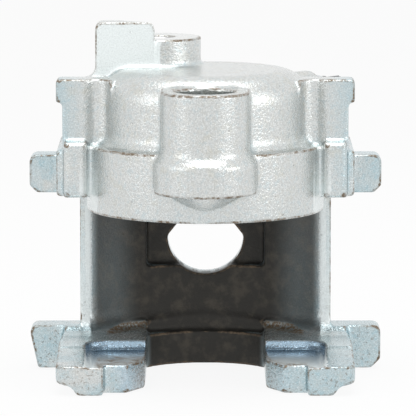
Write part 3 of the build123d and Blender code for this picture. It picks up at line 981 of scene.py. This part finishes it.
@dataclass
class Casting:
    """The housing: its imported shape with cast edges, skin and machined faces."""

    places: Places
    voxel: float = 0.40 * MM
    edge_rounds: int = 6
    foot_rounds: int = 16
    hollow_rounds: int = 26
    faces: int = 190_000
    bridge_edge: tuple[float, float] = (36.4 * MM, 19.2 * MM)
    bridge_middle: float = 34.0 * MM
    leg_top: float = 11.8 * MM
    cutter_r: float = 36.0 * MM
    gap_half: float = 18.5 * MM

    def build(self) -> bpy.types.Object:
        """Makes the casting's mesh and dresses it.

        Returns:
            The piece.
        """
        piece = self._blank()
        self._remesh(piece)
        self._soften(piece)
        self._thin(piece)
        self._marks(piece)
        piece.data.shade_smooth()
        dress(piece, ZINC, Body.HOUSING)
        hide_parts("caliper_housing")
        return piece

    def _blank(self) -> bpy.types.Object:
        """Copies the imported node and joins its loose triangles.

        Returns:
            The copy.
        """
        mesh = bpy.data.objects["caliper_housing"].data.copy()
        mesh.materials.clear()
        work = bmesh.new()
        work.from_mesh(mesh)
        bmesh.ops.remove_doubles(work, verts=work.verts, dist=0.002 * MM)
        work.to_mesh(mesh)
        work.free()
        return new_object("casting", mesh)

    def _remesh(self, piece: bpy.types.Object) -> None:
        """Gives the piece an even skin of small faces.

        Args:
            piece: The casting.
        """
        grid = piece.modifiers.new("skin", "REMESH")
        grid.mode = "VOXEL"
        grid.voxel_size = self.voxel * 1.0
        apply_modifiers(piece)

    def _soften(self, piece: bpy.types.Object) -> None:
        """Rounds outer edges a little, fills hollows more and keeps machined rims crisp.

        Args:
            piece: The casting.
        """
        skin = Skin(piece.data)
        free = 1.0 - 0.9 * self._machined(skin.points)
        hollow = smoothstep(-60.0, -260.0, skin.bend(3))
        for _ in range(7):
            hollow = np.maximum(hollow, 0.97 * skin.average(hollow))
        for turn in range(self.hollow_rounds):
            skin.relax(0.6 * free * (1.0 if turn < self.edge_rounds else hollow))
        z, y = skin.points[:, 2], skin.points[:, 1] - self.places.axis_y
        foot = smoothstep(7 * MM, 4 * MM, z) * smoothstep(2 * MM, -2 * MM, y)
        for _ in range(self.foot_rounds):
            skin.relax(0.6 * foot)
        skin.store()

    def _thin(self, piece: bpy.types.Object) -> None:
        """Brings the face count down, mostly on flat stretches.

        Args:
            piece: The casting.
        """
        fewer = piece.modifiers.new("thin", "DECIMATE")
        fewer.ratio = min(1.0, self.faces / (2 * len(piece.data.polygons)))
        apply_modifiers(piece)

    def _machined(self, points: np.ndarray) -> np.ndarray:
        """How much of each point is a machined face.

        Args:
            points: Vertex positions.

        Returns:
            0 on the cast skin, 1 on machined faces.
        """
        spot = self.places
        near = 0.25 * MM
        x, y, z = points[:, 0], points[:, 1] - spot.axis_y, points[:, 2]
        radius = np.hypot(x, y)
        above = z > spot.mouth_z - near
        bore = (radius < 31.8 * MM) & above & (z < spot.mouth_z + 6 * MM)
        bore |= (radius < 29.0 * MM) & above & (z < spot.mouth_z + 38 * MM)
        guide = spot.spot("guide_bore")
        rim = np.hypot(points[:, 0] - guide.x, points[:, 1] - guide.y)
        blind = guide.z - spot.mount("guide_bore")["dims"]["length_mm"] * MM / 2
        pin = (rim < spot.radius("guide_bore") + 0.5 * MM) & (z > blind - near)
        port = spot.spot("inlet_port")
        away = np.hypot(points[:, 0] - port.x, points[:, 1] - port.y)
        seat = (away < 12.9 * MM) & (z > spot.spot("inlet_seat").z - near)
        drilled = (away < spot.radius("inlet_port") + 0.5 * MM) & (z > spot.mouth_z + 30 * MM)
        finger = spot.spot("finger_seat_left").z
        scoop = (np.abs(x) < 37.2 * MM) & (np.abs(z - finger) < near) & (y < 5.6 * MM)
        return (bore | pin | seat | drilled | scoop).astype(np.float64)

    def _bridge_gap(self, x: np.ndarray, y: np.ndarray) -> np.ndarray:
        """Distance in front of the bridge's inner face.

        Args:
            x: Across, from the cylinder axis.
            y: Backwards, from the cylinder axis.

        Returns:
            The distance, below 0 inside the wall.
        """
        edge_x, edge_y = self.bridge_edge
        rise = self.bridge_middle - edge_y
        radius = (edge_x**2 + rise**2) / (2 * rise)
        return radius - np.hypot(x, y - (self.bridge_middle - radius))

    def _marks(self, piece: bpy.types.Object) -> None:
        """Stores the masks that the finish reads.

        Args:
            piece: The casting.
        """
        skin = Skin(piece.data)
        ground = Ground.of(skin, self.places.axis_y)
        bend = skin.bend(3)
        lens, scoop = self._lens(ground), self._scoop(ground)
        skin.mark(Mark.EDGE, smoothstep(150.0, 600.0, bend))
        # Hollows, where the finish paints a bluish shade.
        skin.mark(Mark.CAVITY, smoothstep(-60.0, -350.0, bend))
        skin.mark(Mark.MACHINED, self._machined(skin.points))
        # Painted shade inside the bridge and in the gap, weaker on the lens marks.
        skin.mark(Mark.SOOT, self._soot(ground) * (1.0 - 0.6 * lens))
        skin.mark(Mark.STAIN, np.maximum(lens, self._finger_stain(ground, scoop)))
        # Painted light on the tab, strips, pad-seat floors, wing corners and the leg's ledge.
        skin.mark(Mark.PALE, self._pale(ground, scoop))
        # Painted shade in the pad seats, and a darker bluish tone on the fingers' fronts.
        skin.mark(Mark.FRESH, np.maximum(scoop, self._flare(ground)))

    def _lens(self, at: Ground) -> np.ndarray:
        """Lens-shaped cutter mark beside each foot of the bridge.

        Args:
            at: The casting's vertices.

        Returns:
            Which vertices lie in it.
        """
        radius = np.hypot(at.x, at.y)
        lens = (at.across > self.gap_half) & (at.across < 31 * MM) & (at.y > 15 * MM)
        lens &= (radius < self.cutter_r + 0.4 * MM) & (at.z < self.leg_top + 2.2 * MM)
        lens &= (at.z > self.leg_top + 0.45 * MM) | (radius > self.cutter_r - 3.5 * MM)
        return lens & (at.z > self.leg_top + 0.05 * MM)

    def _scoop(self, at: Ground) -> np.ndarray:
        """Machined pad seats in the fingers.

        Args:
            at: The casting's vertices.

        Returns:
            Which vertices lie in them.
        """
        floor_z = self.places.spot("finger_seat_left").z
        scoop = (at.across < 37.4 * MM) & (at.z < self.leg_top - 0.2 * MM) & (at.y < 5.8 * MM)
        scoop &= (at.z > floor_z - 0.2 * MM) & (at.upward > -0.1)
        return scoop & ((at.y > -22.4 * MM) | (at.upward > 0.7))

    def _finger_stain(self, at: Ground, scoop: np.ndarray) -> np.ndarray:
        """Brown stain on the fingers beside the gap, stronger on the left.

        Args:
            at: The casting's vertices.
            scoop: Which of them lie in the pad seats.

        Returns:
            Its strength.
        """
        stain = smoothstep(24 * MM, self.gap_half, at.across) * smoothstep(0 * MM, -8 * MM, at.y)
        stain *= np.where(at.x < 0.0, 0.6, 0.35) * (at.z < self.leg_top) * (1.0 - scoop)
        return stain

    def _pale(self, at: Ground, scoop: np.ndarray) -> np.ndarray:
        """Painted light: a brighter, duller colour on the tab, strips, pad seats' floors, wing
        corners and the leg's ledge.

        Args:
            at: The casting's vertices.
            scoop: Which of them lie in the pad seats.

        Returns:
            Its strength.
        """
        mouth = self.places.mouth_z
        front = smoothstep(-0.6, -0.9, at.backward)
        tab = (at.z > mouth + 41 * MM) & (at.x < -14 * MM) & (at.y > 1 * MM)
        strip = (at.across < 40 * MM) & (at.z < mouth) & (at.z > self.leg_top)
        strip &= at.y < 19.7 * MM
        floor = scoop * smoothstep(0.6, 0.95, at.upward) * smoothstep(3 * MM, -10 * MM, at.y)
        corner = (at.across > 33 * MM) & (at.across < 38.5 * MM) & (at.y < -2 * MM)
        corner &= (at.z > mouth) & (at.z < mouth + 13 * MM)
        ledge = (np.abs(at.z - self.leg_top) < 1.2 * MM) & (at.y < 20 * MM) & (at.upward > 0.7)
        light = np.maximum(0.7 * corner, 0.35 * ledge)
        light = np.maximum(light, front * (tab | strip))
        return np.maximum(light, floor)

    def _flare(self, at: Ground) -> np.ndarray:
        """Darker bluish tone on the fingers' fronts, stronger on the left.

        Args:
            at: The casting's vertices.

        Returns:
            Its strength.
        """
        flare = smoothstep(27 * MM, 25 * MM, at.across) * (at.z < self.leg_top)
        return flare * (at.y < -8 * MM) * np.where(at.x < 0.0, 0.4, 0.12)

    def _soot(self, at: Ground) -> np.ndarray:
        """Painted shade inside the bridge and on the gap's far wall, and a faint painted
        reflection of the dark inside on the back of the leg's top.

        Args:
            at: The casting's vertices.

        Returns:
            How much of it lies on each of them.
        """
        mouth, leg = self.places.mouth_z, self.leg_top
        gap = self._bridge_gap(at.x, at.y)
        front = smoothstep(0.1, -0.4, at.backward)
        rim = 0.9 * smoothstep(0.6, 0.2, at.backward)
        front = np.where(at.across < 10 * MM, np.maximum(front, rim), front)
        deep = np.where(at.across < 19.3 * MM, 6.0 * MM, 1.4 * MM)
        inside = (gap > -deep) * smoothstep(7 * MM, 2.5 * MM, gap)
        inside *= np.maximum(front, smoothstep(-0.9 * MM, -0.3 * MM, gap))
        inside *= smoothstep(mouth + 0.6 * MM, mouth - 0.4 * MM, at.z)
        inside *= smoothstep(leg - 0.6 * MM, leg + 3.0 * MM, at.z)
        inside *= 1.0 - 0.16 * smoothstep(20 * MM, 30 * MM, at.across)
        inside *= 1.0 - 0.95 * smoothstep(33.5 * MM, 37 * MM, at.across)
        wall = smoothstep(20 * MM, 24 * MM, at.y) * smoothstep(0.0, -0.2, at.backward)
        wall *= smoothstep(leg + 1.5 * MM, leg + 0.5 * MM, at.z)
        sill = (at.y > 26 * MM) & (at.y < 37 * MM) & (at.backward < 0.2)
        sill &= np.abs(at.z - leg - 1.5 * MM) < 2.7 * MM
        wall = np.maximum(wall, sill) * smoothstep(19.5 * MM, 18.9 * MM, at.across)
        # Faint painted reflection of the dark inside on the leg's top.
        band = smoothstep(8 * MM, 21 * MM, at.y) * smoothstep(0.3, 0.8, at.upward)
        band *= (np.abs(at.z - leg) < 2.0 * MM) * 0.10
        return np.maximum(inside, np.maximum(wall, band))


# --- piston group


@dataclass
class PistonSet:
    """Piston, seal, boot and the ring that holds the boot."""

    places: Places
    length: float = 34.0 * MM
    wall: float = 4.8 * MM
    end_wall: float = 5.5 * MM
    groove_up: float = 1.3 * MM
    groove_width: float = 1.9 * MM
    groove_depth: float = 1.3 * MM
    edge: float = 0.4 * MM
    boot_wall: float = 0.7 * MM

    def build(self) -> None:
        """Makes and dresses the four pieces."""
        self._piston()
        self._ring()
        self._boot()
        repaint("piston_seal", SEAL_RUBBER)

    def _piston(self) -> None:
        """Hollow cup with eased edges and the boot's groove."""
        outer = self.places.bore_r
        inner = outer - self.wall
        low = self.places.face_z
        top = low + self.length
        roof = top - self.end_wall
        ease = self.edge
        groove = low + self.groove_up
        floor = outer - self.groove_depth
        profile = [
            (inner + ease, low),
            (outer - ease, low),
            (outer, low + ease),
            (outer, groove - 0.15 * MM),
            (outer - 0.15 * MM, groove),
            (floor, groove),
            (floor, groove + self.groove_width),
            (outer - 0.15 * MM, groove + self.groove_width),
            (outer, groove + self.groove_width + 0.15 * MM),
            (outer, top - 1.0 * MM),
            (outer - 0.3 * MM, top - 0.3 * MM),
            (outer - 1.0 * MM, top),
            (0.0, top),
            (0.0, roof),
            (inner - 3.0 * MM, roof),
            (inner - 1.2 * MM, roof - 0.5 * MM),
            (inner, roof - 2.0 * MM),
            (inner, low + ease),
        ]
        piece = Lathe(self.places.cylinder(), 128).turn("piston_body", profile)
        sharpen(piece, 40.0)
        dress(piece, CHROME, Body.PISTON)
        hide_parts("piston")

    def _ring(self) -> None:
        """Pressed ring with rolled edges."""
        low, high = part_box("boot_retaining_ring")
        outer = (high.x - low.x) / 2
        inner = outer - 1.2 * MM
        ease = 0.35 * MM
        profile = [
            (inner + ease, low.z),
            (outer - ease, low.z),
            (outer, low.z + ease),
            (outer, high.z - ease),
            (outer - ease, high.z),
            (inner + ease, high.z),
            (inner, high.z - ease),
            (inner, low.z + ease),
        ]
        piece = Lathe(self.places.cylinder(), 128).turn("boot_ring", profile)
        sharpen(piece, 50.0)
        dress(piece, STEEL, Body.HOUSING)
        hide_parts("boot_retaining_ring")

    def _boot(self) -> None:
        """Bellows from the bead in the ring to the lip in the piston's groove."""
        low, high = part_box("dust_boot")
        outer = (high.x - low.x) / 2
        lip_z = self.places.face_z + self.groove_up + self.groove_width / 2
        lip_r = self.places.bore_r - self.groove_depth + 0.15 * MM
        middle = [
            (outer - 0.5 * MM, high.z - 0.8 * MM),
            (outer - 0.4 * MM, low.z + 1.4 * MM),
            (outer - 1.1 * MM, low.z + 0.4 * MM),
            (outer - 1.9 * MM, low.z + 1.4 * MM),
            (outer - 2.4 * MM, low.z + 3.2 * MM),
            (outer - 2.9 * MM, low.z + 3.6 * MM),
            (outer - 3.4 * MM, low.z + 2.8 * MM),
            (outer - 3.9 * MM, lip_z - 0.2 * MM),
            (self.places.bore_r + 0.6 * MM, lip_z),
            (lip_r + 0.4 * MM, lip_z),
        ]
        profile = self._thick(middle)
        piece = Lathe(self.places.cylinder(), 128).turn("boot_bellows", profile)
        sharpen(piece, 80.0)
        piece.data.materials.append(BOOT_RUBBER.material())
        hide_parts("dust_boot")
        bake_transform(piece)
        LOG.info("boot_bellows: %d faces", len(piece.data.polygons))

    def _thick(self, middle: Profile) -> list[tuple[float, float]]:
        """Closed profile around a middle line.

        Args:
            middle: Points of the middle line.

        Returns:
            The profile, down one side and back along the other.
        """
        one, other = [], []
        for index, (radius, along) in enumerate(middle):
            before = middle[max(index - 1, 0)]
            after = middle[min(index + 1, len(middle) - 1)]
            way = Vector((after[0] - before[0], after[1] - before[1])).normalized()
            side = Vector((-way.y, way.x)) * self.boot_wall / 2
            one.append((radius + side.x, along + side.y))
            other.append((radius - side.x, along - side.y))
        return one + other[::-1]


# --- ports


@dataclass
class InletThread:
    """Turns of the tapped inlet port."""

    places: Places
    pitch: float = 1.0 * MM
    turns: int = 10
    depth: float = 0.32 * MM

    def build(self) -> None:
        """Makes one turn, repeats it down the port and dresses it."""
        port = self.places.mount("inlet_port")
        middle = Vector(port["pos_m"])
        radius = self.places.radius("inlet_port")
        top = middle.z + port["dims"]["length_mm"] * MM / 2
        axis = Axis(Vector((middle.x, middle.y, 0.0)), Vector((0.0, 0.0, 1.0)))
        start = top - 0.5 * MM
        profile = [
            (radius + 0.05 * MM, start),
            (radius + 0.05 * MM, start - 0.9 * self.pitch),
            (radius - self.depth, start - 0.5 * self.pitch),
            (radius - self.depth, start - 0.4 * self.pitch),
        ]
        piece = Lathe(axis, 64).turn("inlet_thread", profile)
        Repeat(self.turns, axis, step=-self.pitch).apply(piece, STEEL.material())
        sharpen(piece)
        dress(piece, STEEL, Body.HOUSING)


@dataclass
class BleederScrew:
    """Bleeder screw: thread, eased hexagon and barbed nipple."""

    places: Places
    reach: float = 44.0 * MM
    thread_depth: float = 10.0 * MM
    thread_r: float = 3.95 * MM
    hex_gap: float = 0.4 * MM
    hex_across: float = 10.0 * MM
    hex_height: float = 5.0 * MM
    nipple_r: float = 2.8 * MM
    barb_r: float = 3.3 * MM
    nipple_length: float = 8.0 * MM
    pitch: float = 1.25 * MM

    def build(self) -> None:
        """Makes and dresses the screw and its thread."""
        axis = self.places.bleeder()
        start = self.reach - self.thread_depth
        hexagon = self.reach + self.hex_gap
        nipple = hexagon + self.hex_height
        end = nipple + self.nipple_length
        wide = self.hex_across / math.sqrt(3.0)
        profile = [
            (0.0, start - 2.4 * MM),
            (1.3 * MM, start - 2.4 * MM),
            (self.thread_r - 0.45 * MM, start),
            (self.thread_r - 0.45 * MM, hexagon),
            (wide - 0.5 * MM, hexagon),
            (wide, hexagon + 0.35 * MM),
            (wide, nipple - 0.35 * MM),
            (wide - 0.6 * MM, nipple),
            (self.nipple_r, nipple),
            (self.nipple_r - 0.3 * MM, nipple + 1.2 * MM),
            (self.nipple_r - 0.3 * MM, end - 2.8 * MM),
            (self.barb_r, end - 2.4 * MM),
            (self.barb_r, end - 2.0 * MM),
            (2.0 * MM, end),
            (0.9 * MM, end),
            (0.9 * MM, end - 6 * MM),
            (0.0, end - 6 * MM),
        ]
        piece = Lathe(axis, 96).turn("bleeder_shank", profile, self._hexagonal(hexagon, nipple))
        sharpen(piece, 28.0)
        dress(piece, PLATED, Body.SCREW)
        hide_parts("bleeder_screw")
        self._thread(axis, start)

    def _hexagonal(self, low: float, high: float) -> Callable[[float, float, float], float]:
        """Radius of a hexagon between two places along the axis.

        Args:
            low: Start of the hexagon.
            high: End of the hexagon.

        Returns:
            A function of (radius, along, turn).
        """
        flat = self.hex_across / 2

        def reach(radius: float, along: float, turn: float) -> float:
            """Radius, cut off by the hexagon's flats."""
            inside = low - 1e-6 <= along <= high + 1e-6
            side = flat / math.cos((turn + math.pi / 6) % (math.pi / 3) - math.pi / 6)
            return min(radius, side) if inside else radius

        return reach

    def _thread(self, axis: Axis, start: float) -> None:
        """Turns of the thread, repeated along the shank.

        Args:
            axis: The bleeder's axis.
            start: Where the thread begins.
        """
        root = self.thread_r - 0.5 * MM
        profile = [
            (root, start + 0.2 * MM),
            (self.thread_r, start + 0.2 * MM + 0.45 * self.pitch),
            (self.thread_r, start + 0.2 * MM + 0.55 * self.pitch),
            (root, start + 0.2 * MM + 0.98 * self.pitch),
        ]
        piece = Lathe(axis, 48).turn("bleeder_thread", profile)
        count = int((self.thread_depth - 0.5 * MM) / self.pitch)
        Repeat(count, axis, step=self.pitch).apply(piece, PLATED.material())
        sharpen(piece)
        dress(piece, PLATED, Body.SCREW)


@dataclass
class BleederCap:
    """Push-on rubber cap with a lip, grip ribs and a rounded end."""

    places: Places
    start: float = 49.55 * MM
    inner_r: float = 3.45 * MM
    wall: float = 1.1 * MM
    lip_r: float = 4.95 * MM
    lip: float = 1.6 * MM
    depth: float = 7.85 * MM
    end_wall: float = 1.4 * MM
    ribs: int = 14
    rib_angle: float = 0.16
    rib_height: float = 0.12 * MM

    def build(self) -> None:
        """Makes the cap, and its ribs by repeating one around the axis."""
        axis = self.places.bleeder()
        outer = self.inner_r + self.wall
        inside = self.start + self.depth
        end = inside + self.end_wall
        ease = 0.35 * MM
        profile = [
            (self.inner_r, self.start),
            (self.lip_r - ease, self.start),
            (self.lip_r, self.start + ease),
            (self.lip_r, self.start + self.lip - ease),
            (self.lip_r - ease, self.start + self.lip),
            (outer - 0.1 * MM, self.start + self.lip + 0.2 * MM),
            (outer - 0.1 * MM, end - 1.6 * MM),
            (outer - 0.5 * MM, end - 0.7 * MM),
            (outer - 1.3 * MM, end - 0.15 * MM),
            (outer - 2.2 * MM, end),
            (0.0, end),
            (0.0, inside),
            (self.inner_r, inside),
        ]
        piece = Lathe(axis, 64).turn("cap_shell", profile)
        sharpen(piece, 45.0)
        dress(piece, CAP_RUBBER, Body.CAP)
        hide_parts("bleeder_cap")
        self._grip(axis, outer, self.start + self.lip, end - 1.6 * MM)

    def _grip(self, axis: Axis, outer: float, low: float, high: float) -> None:
        """Ribs along the outside.

        Args:
            axis: The bleeder's axis.
            outer: Radius of the cap's wall.
            low: Where the ribs begin.
            high: Where they end.
        """
        foot, crest = self.rib_angle / 2, self.rib_angle / 4
        root, rise = outer - 0.25 * MM, self.rib_height
        work = bmesh.new()
        rings = []
        for along, lift in ((low, 0.0), (low + 0.3 * MM, rise), (high, rise)):
            top = outer + lift - 0.05 * MM
            corners = ((root, -foot), (top, -crest), (top, crest), (root, foot))
            rings.append([work.verts.new(axis.place(wide, along, turn)) for wide, turn in corners])
        for first, second in zip(rings, rings[1:]):
            bridge(work, first, second)
        work.faces.new(rings[0][::-1])
        work.faces.new(rings[-1])
        piece = finish_mesh("cap_ribs", work)
        Repeat(self.ribs, axis, turn=math.tau / self.ribs).apply(piece, CAP_RUBBER.material())
        dress(piece, CAP_RUBBER, Body.CAP)


# --- studio


@dataclass
class Studio:
    """Pale floor, soft lamps, surroundings and the camera."""

    places: Places
    distance: float = 1.2
    elevation: float = 7.8
    lens: float = 335.0
    aside: float = 0.8 * MM
    table_edge: float = 0.54
    floor_half: float = 3.0
    floor_glow: float = 0.9
    paper: Colour = (0.80, 0.80, 0.80)
    soft_light: Colour = (0.70, 0.70, 0.70)

    def build(self) -> None:
        """Sets up the whole studio."""
        self._camera()
        self._floor()
        self._world()
        self._lamps()
        bpy.context.scene.view_settings.view_transform = "Standard"

    def _aim(self) -> Vector:
        """What the camera looks at: the middle of the cylinder's mouth."""
        return Vector((self.aside, self.places.axis_y, self.places.mouth_z))

    def _camera(self) -> None:
        """Long lens, slightly above the cylinder's mouth."""
        tilt = math.radians(self.elevation)
        back = Vector((0.0, -math.cos(tilt), math.sin(tilt)))
        data = bpy.data.cameras.new("camera")
        data.lens = self.lens
        data.sensor_width = 36.0
        data.clip_start = 0.01
        camera = bpy.data.objects.new("camera", data)
        camera.location = self._aim() + back * self.distance
        camera.rotation_euler = (math.radians(90.0 - self.elevation), 0.0, 0.0)
        bpy.context.scene.collection.objects.link(camera)
        bpy.context.scene.camera = camera

    def _floor(self) -> None:
        """Large pale table that looks white, keeps the shadow and ends in front of the part."""
        half, front = self.floor_half, -self.table_edge
        mesh = bpy.data.meshes.new("floor")
        corners = [(-half, front, 0), (half, front, 0), (half, half, 0), (-half, half, 0)]
        mesh.from_pydata(corners, [], [(0, 1, 2, 3)])
        floor = new_object("floor", mesh)
        made = bpy.data.materials.new("floor_paper")
        made.use_nodes = True
        graph = Graph(made.node_tree)
        paper = graph.add("ShaderNodeBsdfDiffuse", {}, {"Color": (*self.paper, 1.0)})
        glow = graph.add("ShaderNodeEmission", {}, {"Strength": 1.0})
        seen = backdrop_rays(graph, self.floor_glow)
        sockets = {0: seen, 1: paper.outputs[0], 2: glow.outputs[0]}
        blend = graph.add("ShaderNodeMixShader", {}, sockets)
        graph.add("ShaderNodeOutputMaterial", {}, {"Surface": blend.outputs[0]})
        mesh.materials.append(made)

    def _world(self) -> None:
        """White surroundings, which the metal mirrors too, over plain soft light."""
        world = bpy.data.worlds.new("studio")
        world.use_nodes = True
        bpy.context.scene.world = world
        graph = Shader(world.node_tree)
        colour = graph.mix(backdrop_rays(graph, 1.0), self.soft_light, (1.0, 1.0, 1.0))
        back = graph.add("ShaderNodeBackground", {}, {"Color": colour, "Strength": 1.0})
        graph.add("ShaderNodeOutputWorld", {}, {"Surface": back.outputs[0]})

    def _lamps(self) -> None:
        """Soft boxes above and at both sides."""
        aim = self._aim()
        for name, place, size, power in (
            ("top_box", (0.0, -0.15, 0.75), 0.6, 3.1),
            ("left_box", (-0.70, -0.40, 0.35), 0.45, 0.6),
            ("right_box", (0.70, -0.40, 0.35), 0.45, 1.0),
        ):
            data = bpy.data.lights.new(name, "AREA")
            data.shape = "SQUARE"
            data.size = size
            data.energy = power
            lamp = bpy.data.objects.new(name, data)
            lamp.location = Vector(place)
            lamp.rotation_euler = (aim - Vector(place)).to_track_quat("-Z", "Y").to_euler()
            bpy.context.scene.collection.objects.link(lamp)


def main() -> None:
    """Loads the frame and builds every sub-assembly."""
    logging.basicConfig(level=logging.INFO, format="%(name)s %(message)s")
    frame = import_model()
    places = Places(frame["record"])
    Casting(places).build()
    PistonSet(places).build()
    InletThread(places).build()
    BleederScrew(places).build()
    BleederCap(places).build()
    Studio(places).build()


if __name__ == "__main__":
    main()
